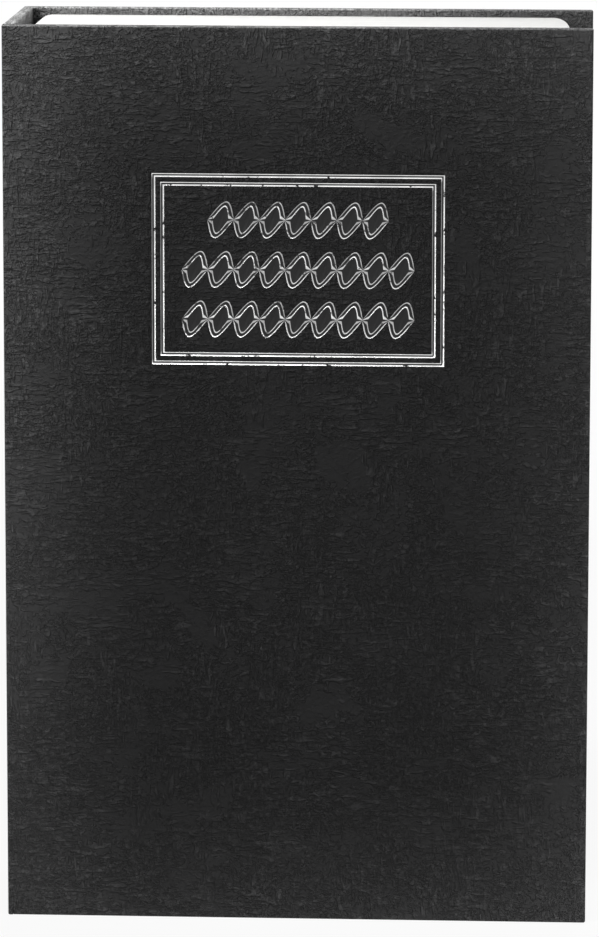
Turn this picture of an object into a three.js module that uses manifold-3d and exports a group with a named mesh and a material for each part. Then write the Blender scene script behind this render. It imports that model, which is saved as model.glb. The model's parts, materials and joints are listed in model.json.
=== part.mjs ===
// A diversion safe that looks like a hardback book standing upright.
// A hardback case is hinged at the front joint. Inside it, a moulded page block frame holds a steel
// box with a hinged steel lid and a cam lock.
// Millimetres. +X from spine to fore-edge, +Y from front cover to back cover, +Z from tail to head.
// The origin is the middle of the base.

import * as THREE from "three";
import { mergeVertices } from "three/addons/utils/BufferGeometryUtils.js";
import Module from "manifold-3d";

// Book
const BOOK_WIDTH = 155;
const BOOK_THICKNESS = 55;
const BOOK_HEIGHT = 240;

// Hardback case
const BOARD = 2.2;
const LEATHERETTE = 0.35;
const ENDPAPER = 0.2;
const TURN_IN = 15;
const ENDPAPER_MARGIN = 3;
const LINER_MARGIN = 6; // from the spine's head and tail to its lining
const PAPER_GAP = 0.3; // round the infill of an endpaper
const CREASE_GAP = 0.3; // between the moving front cover and the joint flap beside it
const COVER_GAP = 0.6; // between the front cover and what it closes on

// Foil lines and ornament on the front cover
const FOIL = 0.1;
const FOIL_GROOVE = 0.15;
const FOIL_GAP = 0.05; // round a foil in its groove
const FOIL_LINE = 1.05;
const TITLE_X = 0.4;
const TITLE_Z = 175.8;
const OUTER_FRAME_WIDTH = 77.2;
const OUTER_FRAME_HEIGHT = 50.9;
const FRAME_STEP = 2.3; // from the outer frame line to the inner one
const LEAF_LENGTH = 6.8;
const LEAF_HEIGHT = 9.8;
const LEAF_NECK = 0.5;
const LEAF_SLANT = 0.32;
const LEAF_SIDES = 6;
const ORNAMENT_PITCH = 13.2;
const TOP_LEAVES = 7;
const LOWER_LEAVES = 9;

// Moulded page block frame
const SQUARE = 2; // boards stand past the pages at head and tail
const FORE_RECESS = 6.2; // pages stop short of the cover's fore-edge
const SPINE_RECESS = 2.9; // and of the spine's lining
const PAGE_WALL = 1.8;
const PAGE_FLANGE = 2;
const FORE_ROUND = 4;
const FORE_ROUND_DEPTH = 30;
const SPINE_ROUND = 1.2;
const SPINE_ROUND_DEPTH = 9;
const FRONT_ROUND = 1.5;

// Steel box
const STEEL = 0.8;
const BOX_SPINE_MARGIN = 2.3;
const BOX_FORE_MARGIN = 11.9;
const BOX_END_MARGIN = 9;
const BOX_CLEARANCE = 0.4; // round the box in the page block frame
const BOX_RECESS = 3.4; // box front behind the page block's front
const LIP = 8;
const HINGE_LIP = 12;
const LIP_RETURN = 3.8;

// Lid and its piano hinge
const LID_REVEAL = 1.5; // box edge that shows round the lid
const LID_LIFT = 0.3; // lid rim above the box lip
const LID_RIM = 0.8;
const KNUCKLE = 1.6;
const KNUCKLE_HOLE = 1.1;
const PIN = 0.9;
const PIN_STANDS_OUT = 1;
const HINGE_AXIS_INSET = 8; // from the box's spine side
const HINGE_AXIS_LIFT = 1.7; // from the box lip to the pin's centre
const KNUCKLE_GAP = 0.4;
const KNUCKLES = 11;
const HINGE_END_GAP = 10; // from the end of the box to the end of the hinge
const BOX_LEAF = 7.5;
const LID_LEAF = 11;
const ROUND_SIDES = 16;

// Cam lock
const LOCK_INSET = 11.4; // from the edge of the box opening to the lock's centre
const BEZEL = 8.5;
const BEZEL_HEIGHT = 1.4;
const BEZEL_ROUND = 0.5;
const BARREL = 6;
const BARREL_FLAT = 5.2; // half the width across the flats
const BARREL_LENGTH = 6.4; // behind the lid's front
const LOCK_GAP = 0.3; // between the lock's pieces and in the lid's hole
const PLUG = 4;
const PLUG_SETBACK = 0.2;
const KEYWAY_WIDTH = 1.3;
const KEYWAY_HEIGHT = 5.6;
const KEYWAY_DEPTH = 3.4;
const TANG = 2.5; // half the width of the square
const CAM_THICKNESS = 1.5;
const CAM_HALF_WIDTH = 4.5;
const CAM_REACH = 16;
const NUT = 9.2;
const NUT_THICKNESS = 2.4;
const WASHER = 4;
const WASHER_THICKNESS = 0.8;
const CAM_SCREW_HEAD = 2.8;
const CAM_SCREW_HEAD_HEIGHT = 1.8;
const CAM_SCREW_SHANK = 1.3;
const CAM_SCREW_LENGTH = 4.4;

// Self-tapping screws that hold the box in the page block frame
const SCREW_SHANK = 1.4;
const SCREW_HEAD = 2.8;
const SCREW_HEAD_HEIGHT = 1.6;
const SCREW_LENGTH = 7;
const SCREW_SPACING = 70;
const SCREW_DEPTH = 30; // behind the box's front
const BOSS = 8;
const CROSS_SLOT = 0.7;
const CROSS_LENGTH = 3;
const CROSS_DEPTH = 0.8;

// Places that follow from the sizes
const LEFT = -BOOK_WIDTH / 2;
const RIGHT = BOOK_WIDTH / 2;
const FRONT = -BOOK_THICKNESS / 2;
const BACK = BOOK_THICKNESS / 2;
const TOP = BOOK_HEIGHT;
const WRAP = BOARD + 2 * LEATHERETTE;
const COVER = WRAP + ENDPAPER;
const BLOCK_FRONT = FRONT + COVER + COVER_GAP;
const BLOCK_BACK = BACK - COVER;
const SPINE_INNER = LEFT + COVER;
const FORE = RIGHT - FORE_RECESS;
const BLOCK_LEFT = SPINE_INNER + SPINE_RECESS;
const REAR_LEFT = BLOCK_LEFT + SPINE_ROUND;
const REAR_RIGHT = FORE - FORE_ROUND;
const BLOCK_LOW = SQUARE;
const BLOCK_HIGH = TOP - SQUARE;
const BOX_LEFT = BLOCK_LEFT + BOX_SPINE_MARGIN;
const BOX_RIGHT = FORE - BOX_FORE_MARGIN;
const BOX_LOW = BLOCK_LOW + BOX_END_MARGIN;
const BOX_HIGH = BLOCK_HIGH - BOX_END_MARGIN;
const BOX_FRONT = BLOCK_FRONT + BOX_RECESS;
const MOUTH_LEFT = BOX_LEFT + HINGE_LIP;
const MOUTH_RIGHT = BOX_RIGHT - LIP;
const MOUTH_LOW = BOX_LOW + LIP;
const MOUTH_HIGH = BOX_HIGH - LIP;
const HINGE_X = BOX_LEFT + HINGE_AXIS_INSET;
const HINGE_Y = BOX_FRONT - HINGE_AXIS_LIFT;
const HINGE_LOW = BOX_LOW + HINGE_END_GAP;
const HINGE_HIGH = BOX_HIGH - HINGE_END_GAP;
const KNUCKLE_CLEAR = KNUCKLE + KNUCKLE_GAP;
const LID_RIM_BACK = BOX_FRONT - LID_LIFT;
const LID_BACK = LID_RIM_BACK - LID_RIM;
const LID_FRONT = LID_BACK - STEEL;
const LID_LEFT = HINGE_X + KNUCKLE_CLEAR;
const LID_RIGHT = BOX_RIGHT - LID_REVEAL;
const LID_LOW = BOX_LOW + LID_REVEAL;
const LID_HIGH = BOX_HIGH - LID_REVEAL;
const LOCK_X = MOUTH_RIGHT - LOCK_INSET;
const LOCK_Z = (BOX_LOW + BOX_HIGH) / 2;
const BARREL_BACK = LID_FRONT + BARREL_LENGTH;
const CAM_FRONT = BARREL_BACK + LOCK_GAP;
const CAM_BACK = CAM_FRONT + CAM_THICKNESS;
const BOX_MIDDLE = (BOX_LEFT + BOX_RIGHT) / 2;
const FAR = BOOK_HEIGHT; // how far a cutting solid runs past what it cuts

const wasm = await Module();
wasm.setup();

// A closed geometry as a solid that can be cut and joined.
function solid(geometry) {
  const bare = geometry.clone();
  bare.deleteAttribute("normal");
  bare.deleteAttribute("uv");
  const merged = mergeVertices(bare, 1e-4);
  return new wasm.Manifold(
    new wasm.Mesh({
      numProp: 3,
      vertProperties: new Float32Array(merged.attributes.position.array),
      triVerts: new Uint32Array(merged.index.array),
    }),
  );
}

// A solid as a geometry with flat faces.
function geometryOf(body) {
  const mesh = body.getMesh();
  const positions = new Float32Array(mesh.numVert * 3);
  for (let i = 0; i < mesh.numVert; i += 1) {
    const start = i * mesh.numProp;
    positions.set(mesh.vertProperties.subarray(start, start + 3), i * 3);
  }
  const indexed = new THREE.BufferGeometry();
  indexed.setAttribute("position", new THREE.BufferAttribute(positions, 3));
  indexed.setIndex(new THREE.BufferAttribute(new Uint32Array(mesh.triVerts), 1));
  const flat = indexed.toNonIndexed();
  flat.computeVertexNormals();
  return flat;
}

// A block whose faces lie exactly at the corners' numbers.
function block(low, high) {
  const box = new THREE.BoxGeometry(1, 1, 1);
  const p = box.attributes.position;
  for (let i = 0; i < p.count; i += 1) {
    p.setXYZ(
      i,
      p.getX(i) < 0 ? low[0] : high[0],
      p.getY(i) < 0 ? low[1] : high[1],
      p.getZ(i) < 0 ? low[2] : high[2],
    );
  }
  return solid(box);
}

// An outline in X and Y, run from zLow to zHigh.
function prism(shape, zLow, zHigh, curveSegments = 10) {
  const made = new THREE.ExtrudeGeometry(shape, { depth: 1, bevelEnabled: false, curveSegments });
  const p = made.attributes.position;
  for (let i = 0; i < p.count; i += 1) p.setZ(i, p.getZ(i) < 0.5 ? zLow : zHigh);
  return solid(made);
}

// An outline in X and Z, run from yFront to yBack.
function plate(shape, yFront, yBack, curveSegments = 10) {
  const made = new THREE.ExtrudeGeometry(shape, { depth: 1, bevelEnabled: false, curveSegments });
  const p = made.attributes.position;
  for (let i = 0; i < p.count; i += 1)
    p.setXYZ(i, p.getX(i), p.getZ(i) < 0.5 ? yBack : yFront, p.getY(i));
  return solid(made);
}

// A cylinder along Z.
function rod(radius, x, y, zLow, zHigh, sides = ROUND_SIDES) {
  const made = new THREE.CylinderGeometry(radius, radius, zHigh - zLow, sides);
  made.rotateX(Math.PI / 2).translate(x, y, (zLow + zHigh) / 2);
  return solid(made);
}

// A profile of [radius, y] points turned round the Y axis.
function turned(profile, sides) {
  const points = profile.map(([radius, y]) => new THREE.Vector2(radius, y));
  return solid(new THREE.LatheGeometry(points, sides));
}

// A cylinder along Y, on the Y axis.
function turnedRod(radius, yFront, yBack, sides = ROUND_SIDES) {
  const profile = [
    [0, yFront],
    [radius, yFront],
    [radius, yBack],
    [0, yBack],
  ];
  return turned(profile, sides);
}

function piece(name, body, material) {
  const mesh = new THREE.Mesh(geometryOf(body), material);
  mesh.name = name;
  return mesh;
}

const finish = (color, roughness, metalness) =>
  new THREE.MeshStandardMaterial({ color, roughness, metalness });
const leatherette = () => finish(0x262626, 0.55, 0);
const greyboard = () => finish(0x8f8878, 0.95, 0);
const blackPaper = () => finish(0x1d1d1e, 0.85, 0);
const silverFoil = () => finish(0xc9c9c9, 0.25, 0.9);
const pagePlastic = () => finish(0xf4f3ee, 0.6, 0);
const blackSteel = () => finish(0x1b1c1d, 0.5, 0.4);
const bareSteel = () => finish(0x9b9ea1, 0.4, 0.9);
const chrome = () => finish(0xd0d2d4, 0.15, 1);

// Hardback case

// One board's leatherette: a sheet round all its edges, with a window between the turn-ins.
// The board fills the hollow, and the window opens on the side that faces the book's inside.
function wrapOf(outerLow, outerHigh, hollowLow, hollowHigh, windowLow, windowHigh) {
  return block(outerLow, outerHigh)
    .subtract(block(hollowLow, hollowHigh))
    .subtract(block(windowLow, windowHigh));
}

function rectangle(x, z, width, height) {
  const shape = new THREE.Shape();
  shape.moveTo(x - width / 2, z - height / 2);
  shape.lineTo(x + width / 2, z - height / 2);
  shape.lineTo(x + width / 2, z + height / 2);
  shape.lineTo(x - width / 2, z + height / 2);
  return shape;
}

// A rectangular line of foil, or its groove when spread is the gap round it.
function frameLine(inset, spread) {
  const width = OUTER_FRAME_WIDTH - 2 * inset;
  const height = OUTER_FRAME_HEIGHT - 2 * inset;
  const line = rectangle(TITLE_X, TITLE_Z, width + 2 * spread, height + 2 * spread);
  const inner = 2 * (FOIL_LINE + spread);
  line.holes.push(
    rectangle(TITLE_X, TITLE_Z, width + 2 * spread - inner, height + 2 * spread - inner),
  );
  return line;
}

// A band of slanted leaves joined at their tips.
function leafBand(zMiddle, leaves, spread) {
  const half = (leaves * LEAF_LENGTH) / 2;
  const steps = leaves * LEAF_SIDES;
  const neck = LEAF_NECK / 2 + spread;
  const swell = (LEAF_HEIGHT - LEAF_NECK) / 2;
  const edge = [];
  for (let i = 0; i <= steps; i += 1) {
    const along = (2 * half * i) / steps - half;
    const reach = neck + swell * Math.abs(Math.sin((Math.PI * i) / LEAF_SIDES));
    edge.push([along + spread * Math.sign(2 * i - steps) * Number(i % steps === 0), reach]);
  }
  const place = ([along, rise]) =>
    new THREE.Vector2(TITLE_X + along + LEAF_SLANT * rise, zMiddle + rise);
  const lower = edge.map(([along, reach]) => place([along, -reach]));
  const upper = edge.map(([along, reach]) => place([along, reach])).reverse();
  return new THREE.Shape([...lower, ...upper]);
}

const foilShapes = {
  front_foil_outer_frame: (spread) => frameLine(0, spread),
  front_foil_inner_frame: (spread) => frameLine(FRAME_STEP, spread),
  front_foil_leaves_top: (spread) => leafBand(TITLE_Z + ORNAMENT_PITCH, TOP_LEAVES, spread),
  front_foil_leaves_middle: (spread) => leafBand(TITLE_Z, LOWER_LEAVES, spread),
  front_foil_leaves_bottom: (spread) => leafBand(TITLE_Z - ORNAMENT_PITCH, LOWER_LEAVES, spread),
};

function frontCover() {
  const group = new THREE.Group();
  const hingeSide = LEFT + LEATHERETTE + CREASE_GAP;
  const wrapInner = FRONT + WRAP;
  const boardLow = [hingeSide + LEATHERETTE, FRONT + LEATHERETTE, LEATHERETTE];
  const boardHigh = [RIGHT - LEATHERETTE, wrapInner - LEATHERETTE, TOP - LEATHERETTE];
  const windowLow = [hingeSide + TURN_IN, boardHigh[1], TURN_IN];
  const windowHigh = [RIGHT - TURN_IN, FAR, TOP - TURN_IN];
  let wrap = wrapOf(
    [hingeSide, FRONT, 0],
    [RIGHT, wrapInner, TOP],
    boardLow,
    boardHigh,
    windowLow,
    windowHigh,
  ).add(block([LEFT, FRONT, 0], [hingeSide + LEATHERETTE, FRONT + LEATHERETTE, TOP]));
  const grooveBack = FRONT + FOIL_GROOVE;
  for (const shapeWith of Object.values(foilShapes))
    wrap = wrap.subtract(plate(shapeWith(FOIL_GAP), FRONT - FAR, grooveBack));
  group.add(piece("front_cover_leatherette", wrap, leatherette()));
  for (const [name, shapeWith] of Object.entries(foilShapes))
    group.add(piece(name, plate(shapeWith(0), grooveBack - FOIL, grooveBack), silverFoil()));
  group.add(piece("front_cover_board", block(boardLow, boardHigh), greyboard()));
  const sheet = block(
    [hingeSide + ENDPAPER_MARGIN, wrapInner, ENDPAPER_MARGIN],
    [RIGHT - ENDPAPER_MARGIN, wrapInner + ENDPAPER, TOP - ENDPAPER_MARGIN],
  );
  const infill = block(
    [windowLow[0] + PAPER_GAP, boardHigh[1], windowLow[2] + PAPER_GAP],
    [windowHigh[0] - PAPER_GAP, wrapInner + ENDPAPER, windowHigh[2] - PAPER_GAP],
  );
  group.add(piece("front_endpaper", sheet.add(infill), blackPaper()));
  return group;
}

function backCover() {
  const group = new THREE.Group();
  const wrapInner = BACK - WRAP;
  const boardLow = [LEFT + LEATHERETTE, wrapInner + LEATHERETTE, LEATHERETTE];
  const boardHigh = [RIGHT - LEATHERETTE, BACK - LEATHERETTE, TOP - LEATHERETTE];
  const windowLow = [LEFT + TURN_IN, -FAR, TURN_IN];
  const windowHigh = [RIGHT - TURN_IN, boardLow[1], TOP - TURN_IN];
  const wrap = wrapOf(
    [LEFT, wrapInner, 0],
    [RIGHT, BACK, TOP],
    boardLow,
    boardHigh,
    windowLow,
    windowHigh,
  );
  group.add(piece("back_cover_leatherette", wrap, leatherette()));
  group.add(piece("back_cover_board", block(boardLow, boardHigh), greyboard()));
  const sheet = block(
    [SPINE_INNER, BLOCK_BACK, ENDPAPER_MARGIN],
    [REAR_RIGHT, wrapInner, TOP - ENDPAPER_MARGIN],
  );
  const infill = block(
    [windowLow[0] + PAPER_GAP, BLOCK_BACK, windowLow[2] + PAPER_GAP],
    [windowHigh[0] - PAPER_GAP, boardLow[1], windowHigh[2] - PAPER_GAP],
  );
  group.add(piece("back_endpaper", sheet.add(infill), blackPaper()));
  return group;
}

// The spine's leatherette runs on past the board as the flap that the front cover turns on.
function spine() {
  const group = new THREE.Group();
  const wrapInner = LEFT + WRAP;
  const boardLow = [LEFT + LEATHERETTE, BLOCK_FRONT + LEATHERETTE, LEATHERETTE];
  const boardHigh = [wrapInner - LEATHERETTE, BLOCK_BACK, TOP - LEATHERETTE];
  const windowLow = [boardHigh[0], BLOCK_FRONT + TURN_IN, TURN_IN];
  const windowHigh = [FAR, BLOCK_BACK - TURN_IN, TOP - TURN_IN];
  const wrap = wrapOf(
    [LEFT, BLOCK_FRONT, 0],
    [wrapInner, BLOCK_BACK, TOP],
    boardLow,
    boardHigh,
    windowLow,
    windowHigh,
  );
  const sheet = block(
    [LEFT, FRONT + LEATHERETTE + FOIL_GAP, 0],
    [LEFT + LEATHERETTE, BACK - WRAP, TOP],
  );
  group.add(piece("spine_leatherette", wrap.add(sheet), leatherette()));
  group.add(piece("spine_board", block(boardLow, boardHigh), greyboard()));
  const liner = block(
    [wrapInner, BLOCK_FRONT, LINER_MARGIN],
    [SPINE_INNER, BLOCK_BACK, TOP - LINER_MARGIN],
  );
  const infill = block(
    [boardHigh[0], windowLow[1] + PAPER_GAP, windowLow[2] + PAPER_GAP],
    [SPINE_INNER, windowHigh[1] - PAPER_GAP, windowHigh[2] - PAPER_GAP],
  );
  group.add(piece("spine_liner", liner.add(infill), blackPaper()));
  return group;
}

// Page block frame

// The page block in plan, drawn in by an inset: long rounds at the back, a small one in front.
function pageOutline(inset) {
  const left = BLOCK_LEFT + inset;
  const right = FORE - inset;
  const front = BLOCK_FRONT + inset;
  const back = BLOCK_BACK - inset;
  const small = Math.max(FRONT_ROUND - inset, 0.1);
  const fore = Math.max(FORE_ROUND - inset, 0.1);
  const foreDepth = FORE_ROUND_DEPTH - inset;
  const spineRound = Math.max(SPINE_ROUND - inset, 0.1);
  const spineDepth = SPINE_ROUND_DEPTH - inset;
  const shape = new THREE.Shape();
  shape.moveTo(left, front);
  shape.lineTo(right - small, front);
  shape.absellipse(right - small, front + small, small, small, -Math.PI / 2, 0, false, 0);
  shape.absellipse(right - fore, back - foreDepth, fore, foreDepth, 0, Math.PI / 2, false, 0);
  const rearLeft = [left + spineRound, back - spineDepth];
  shape.absellipse(...rearLeft, spineRound, spineDepth, Math.PI / 2, Math.PI, false, 0);
  return shape;
}

function screwPlaces() {
  const places = [];
  for (const end of [1, -1])
    for (const side of [-1, 1])
      places.push({ x: BOX_MIDDLE + (side * SCREW_SPACING) / 2, end });
  return places;
}

const SCREW_Y = BOX_FRONT + SCREW_DEPTH;

function pageBlockFrame() {
  const hollow = prism(
    pageOutline(PAGE_WALL),
    BLOCK_LOW + PAGE_WALL,
    BLOCK_HIGH - PAGE_WALL,
  ).add(
    block(
      [REAR_LEFT + PAGE_WALL, BLOCK_FRONT + PAGE_FLANGE, BLOCK_LOW + PAGE_WALL],
      [REAR_RIGHT - PAGE_WALL, FAR, BLOCK_HIGH - PAGE_WALL],
    ),
  ).subtract(block([-FAR, -FAR, -FAR], [FAR, BLOCK_FRONT + PAGE_FLANGE, FAR + TOP]));
  const pocketWall = BOX_CLEARANCE + PAGE_WALL;
  const around = block(
    [BOX_LEFT - pocketWall, -FAR, BOX_LOW - pocketWall],
    [BOX_RIGHT + pocketWall, FAR, BOX_HIGH + pocketWall],
  );
  const pocket = block(
    [BOX_LEFT - BOX_CLEARANCE, -FAR, BOX_LOW - BOX_CLEARANCE],
    [BOX_RIGHT + BOX_CLEARANCE, FAR, BOX_HIGH + BOX_CLEARANCE],
  );
  let frame = prism(pageOutline(0), BLOCK_LOW, BLOCK_HIGH, 16);
  let empty = hollow.subtract(around);
  for (const { x } of screwPlaces())
    empty = empty.subtract(
      block(
        [x - BOSS / 2, SCREW_Y - BOSS / 2, -FAR],
        [x + BOSS / 2, SCREW_Y + BOSS / 2, FAR + TOP],
      ),
    );
  frame = frame.subtract(empty).subtract(pocket);
  for (const { x, end } of screwPlaces()) {
    const wall = end > 0 ? BOX_HIGH : BOX_LOW;
    const deep = wall + end * (SCREW_LENGTH - STEEL + LOCK_GAP);
    const hole = rod(SCREW_SHANK + LOCK_GAP, x, SCREW_Y, Math.min(wall, deep), Math.max(wall, deep));
    frame = frame.subtract(hole);
  }
  return piece("page_block_frame", frame, pagePlastic());
}

// Steel box

function safeBox() {
  const mouth = (grow, yFront, yBack) =>
    block(
      [MOUTH_LEFT - grow, yFront, MOUTH_LOW - grow],
      [MOUTH_RIGHT + grow, yBack, MOUTH_HIGH + grow],
    );
  let box = block([BOX_LEFT, BOX_FRONT, BOX_LOW], [BOX_RIGHT, BLOCK_BACK, BOX_HIGH])
    .subtract(
      block(
        [BOX_LEFT + STEEL, BOX_FRONT + STEEL, BOX_LOW + STEEL],
        [BOX_RIGHT - STEEL, BLOCK_BACK - STEEL, BOX_HIGH - STEEL],
      ),
    )
    .add(mouth(STEEL, BOX_FRONT, BOX_FRONT + STEEL + LIP_RETURN))
    .subtract(mouth(0, -FAR, BLOCK_BACK - STEEL));
  for (const { x, end } of screwPlaces()) {
    const wall = end > 0 ? BOX_HIGH : BOX_LOW;
    box = box.subtract(
      rod(SCREW_SHANK + LOCK_GAP, x, SCREW_Y, wall - 2 * STEEL, wall + 2 * STEEL),
    );
  }
  return piece("safe_box", box, blackSteel());
}

function boxScrews() {
  return screwPlaces().map(({ x, end }, i) => {
    const dome = 0.5;
    const head = turned(
      [
        [0, 0],
        [SCREW_HEAD, 0],
        [SCREW_HEAD, SCREW_HEAD_HEIGHT - dome],
        [SCREW_HEAD - dome, SCREW_HEAD_HEIGHT],
        [0, SCREW_HEAD_HEIGHT],
      ],
      ROUND_SIDES,
    );
    const shank = turnedRod(SCREW_SHANK, -SCREW_LENGTH, dome, 12);
    let screw = head.add(shank);
    for (const [across, along] of [
      [CROSS_LENGTH, CROSS_SLOT],
      [CROSS_SLOT, CROSS_LENGTH],
    ])
      screw = screw.subtract(
        block(
          [-across / 2, SCREW_HEAD_HEIGHT - CROSS_DEPTH, -along / 2],
          [across / 2, SCREW_HEAD_HEIGHT + dome, along / 2],
        ),
      );
    const made = piece("box_screw_" + (i + 1), screw, bareSteel());
    made.position.set(x, SCREW_Y, end > 0 ? BOX_HIGH - STEEL : BOX_LOW + STEEL);
    made.rotation.x = (-end * Math.PI) / 2;
    return made;
  });
}

// Piano hinge: the knuckles take turns between the box leaf and the lid leaf.

function hingeLeaf(name, first, side, reach, yFront) {
  const length = (HINGE_HIGH - HINGE_LOW) / KNUCKLES;
  const nearest = HINGE_X + side * KNUCKLE_CLEAR;
  const farthest = HINGE_X + side * reach;
  let leaf = block(
    [Math.min(nearest, farthest), yFront, HINGE_LOW],
    [Math.max(nearest, farthest), yFront + STEEL, HINGE_HIGH],
  );
  for (let i = first; i < KNUCKLES; i += 2) {
    const low = HINGE_LOW + i * length + KNUCKLE_GAP / 2;
    const high = low + length - KNUCKLE_GAP;
    const into = nearest + side * STEEL;
    leaf = leaf.add(rod(KNUCKLE, HINGE_X, HINGE_Y, low, high)).add(
      block(
        [Math.min(HINGE_X, into), yFront, low],
        [Math.max(HINGE_X, into), yFront + STEEL, high],
      ),
    );
  }
  leaf = leaf.subtract(rod(KNUCKLE_HOLE, HINGE_X, HINGE_Y, HINGE_LOW - FAR, HINGE_HIGH + FAR));
  return piece(name, leaf, blackSteel());
}

function hingePin() {
  const low = HINGE_LOW - PIN_STANDS_OUT;
  const high = HINGE_HIGH + PIN_STANDS_OUT;
  return piece("hinge_pin", rod(PIN, HINGE_X, HINGE_Y, low, high, 12), bareSteel());
}

// Lid

function safeLid() {
  const low = [LID_LEFT, LID_FRONT, LID_LOW];
  const high = [LID_RIGHT, LID_RIM_BACK, LID_HIGH];
  let lid = block(low, high).subtract(
    block(
      [-FAR, LID_BACK, LID_LOW + STEEL],
      [LID_RIGHT - STEEL, FAR, LID_HIGH - STEEL],
    ),
  ).subtract(block([-FAR, LID_BACK, -FAR], [HINGE_X + LID_LEAF + STEEL, FAR, FAR + TOP]));
  const hole = turnedRod(BARREL + LOCK_GAP, -FAR, FAR, 24)
    .intersect(
      block(
        [-BARREL_FLAT - LOCK_GAP, -FAR, -BARREL - 1],
        [BARREL_FLAT + LOCK_GAP, FAR, BARREL + 1],
      ),
    )
    .translate([LOCK_X, 0, LOCK_Z]);
  lid = lid.subtract(hole);
  return piece("safe_lid", lid, blackSteel());
}

// Cam lock, on the Y axis of its own group

function lockHousing() {
  const bezelFront = LID_FRONT - BEZEL_HEIGHT;
  const bezel = turned(
    [
      [0, bezelFront],
      [BEZEL - BEZEL_ROUND, bezelFront],
      [BEZEL, bezelFront + BEZEL_ROUND],
      [BEZEL, LID_FRONT],
      [0, LID_FRONT],
    ],
    32,
  );
  const barrel = turnedRod(BARREL, bezelFront + BEZEL_ROUND, BARREL_BACK, 24).intersect(
    block([-BARREL_FLAT, -FAR, -BARREL - 1], [BARREL_FLAT, FAR, BARREL + 1]),
  );
  const bore = turnedRod(PLUG + LOCK_GAP, -FAR, FAR, 24);
  return piece("lock_housing", bezel.add(barrel).subtract(bore), chrome());
}

function lockNut() {
  const nut = turnedRod(NUT, LID_BACK, LID_BACK + NUT_THICKNESS, 6);
  return piece("lock_nut", nut.subtract(turnedRod(BARREL + LOCK_GAP, -FAR, FAR, 24)), bareSteel());
}

function lockPlug() {
  const plugFront = LID_FRONT - BEZEL_HEIGHT + PLUG_SETBACK;
  const slot = block(
    [-KEYWAY_WIDTH / 2, -FAR, -KEYWAY_HEIGHT / 2],
    [KEYWAY_WIDTH / 2, plugFront + KEYWAY_DEPTH, KEYWAY_HEIGHT / 2],
  );
  const tang = block([-TANG, CAM_FRONT - 1, -TANG], [TANG, CAM_BACK - LOCK_GAP, TANG]);
  const screwHole = turnedRod(
    CAM_SCREW_SHANK + LOCK_GAP,
    CAM_BACK - CAM_SCREW_LENGTH - LOCK_GAP,
    FAR,
    12,
  );
  const plug = turnedRod(PLUG, plugFront, CAM_FRONT, 24).add(tang).subtract(slot);
  return piece("lock_plug", plug.subtract(screwHole), chrome());
}

// The cam points up when unlocked, and its rounded tip turns under the box lip to lock.
function lockCam() {
  const shape = new THREE.Shape();
  const hub = CAM_HALF_WIDTH;
  const tip = CAM_REACH - hub;
  shape.absarc(0, 0, hub, Math.PI, 2 * Math.PI, false);
  shape.absarc(0, tip, hub, 0, Math.PI, false);
  const half = TANG + LOCK_GAP;
  shape.holes.push(rectangle(0, 0, 2 * half, 2 * half));
  return piece("lock_cam", plate(shape, CAM_FRONT, CAM_BACK, 12), bareSteel());
}

function camWasher() {
  const back = CAM_BACK + WASHER_THICKNESS;
  const hole = turnedRod(CAM_SCREW_SHANK + LOCK_GAP, -FAR, FAR, 12);
  return piece("cam_washer", turnedRod(WASHER, CAM_BACK, back, 20).subtract(hole), bareSteel());
}

function camScrew() {
  const seat = CAM_BACK + WASHER_THICKNESS;
  const end = CAM_BACK - CAM_SCREW_LENGTH;
  const head = turnedRod(CAM_SCREW_HEAD, seat, seat + CAM_SCREW_HEAD_HEIGHT);
  const shank = turnedRod(CAM_SCREW_SHANK, end, seat + CROSS_DEPTH, 12);
  let screw = head.add(shank);
  for (const [across, along] of [
    [CROSS_LENGTH, CROSS_SLOT],
    [CROSS_SLOT, CROSS_LENGTH],
  ])
    screw = screw.subtract(
      block(
        [-across / 2, seat + CAM_SCREW_HEAD_HEIGHT - CROSS_DEPTH, -along / 2],
        [across / 2, FAR, along / 2],
      ),
    );
  return piece("cam_screw", screw, bareSteel());
}

// Assembly

const lock = new THREE.Group();
lock.position.set(LOCK_X, 0, LOCK_Z);
lock.add(lockHousing(), lockNut(), lockPlug(), lockCam(), camWasher(), camScrew());

const lid = new THREE.Group();
const lidLeafFront = LID_RIM_BACK - STEEL;
lid.add(safeLid(), hingeLeaf("hinge_leaf_lid", 1, 1, LID_LEAF, lidLeafFront), lock);

const safe = new THREE.Group();
safe.add(
  safeBox(),
  ...boxScrews(),
  hingeLeaf("hinge_leaf_box", 0, -1, BOX_LEAF, BOX_FRONT - STEEL),
  hingePin(),
  lid,
);

const book = new THREE.Group();
book.add(frontCover(), spine(), backCover(), pageBlockFrame(), safe);

export default book;
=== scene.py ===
import json
import math

import bmesh
import bpy
import numpy as np
from mathutils import Matrix, Vector


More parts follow.
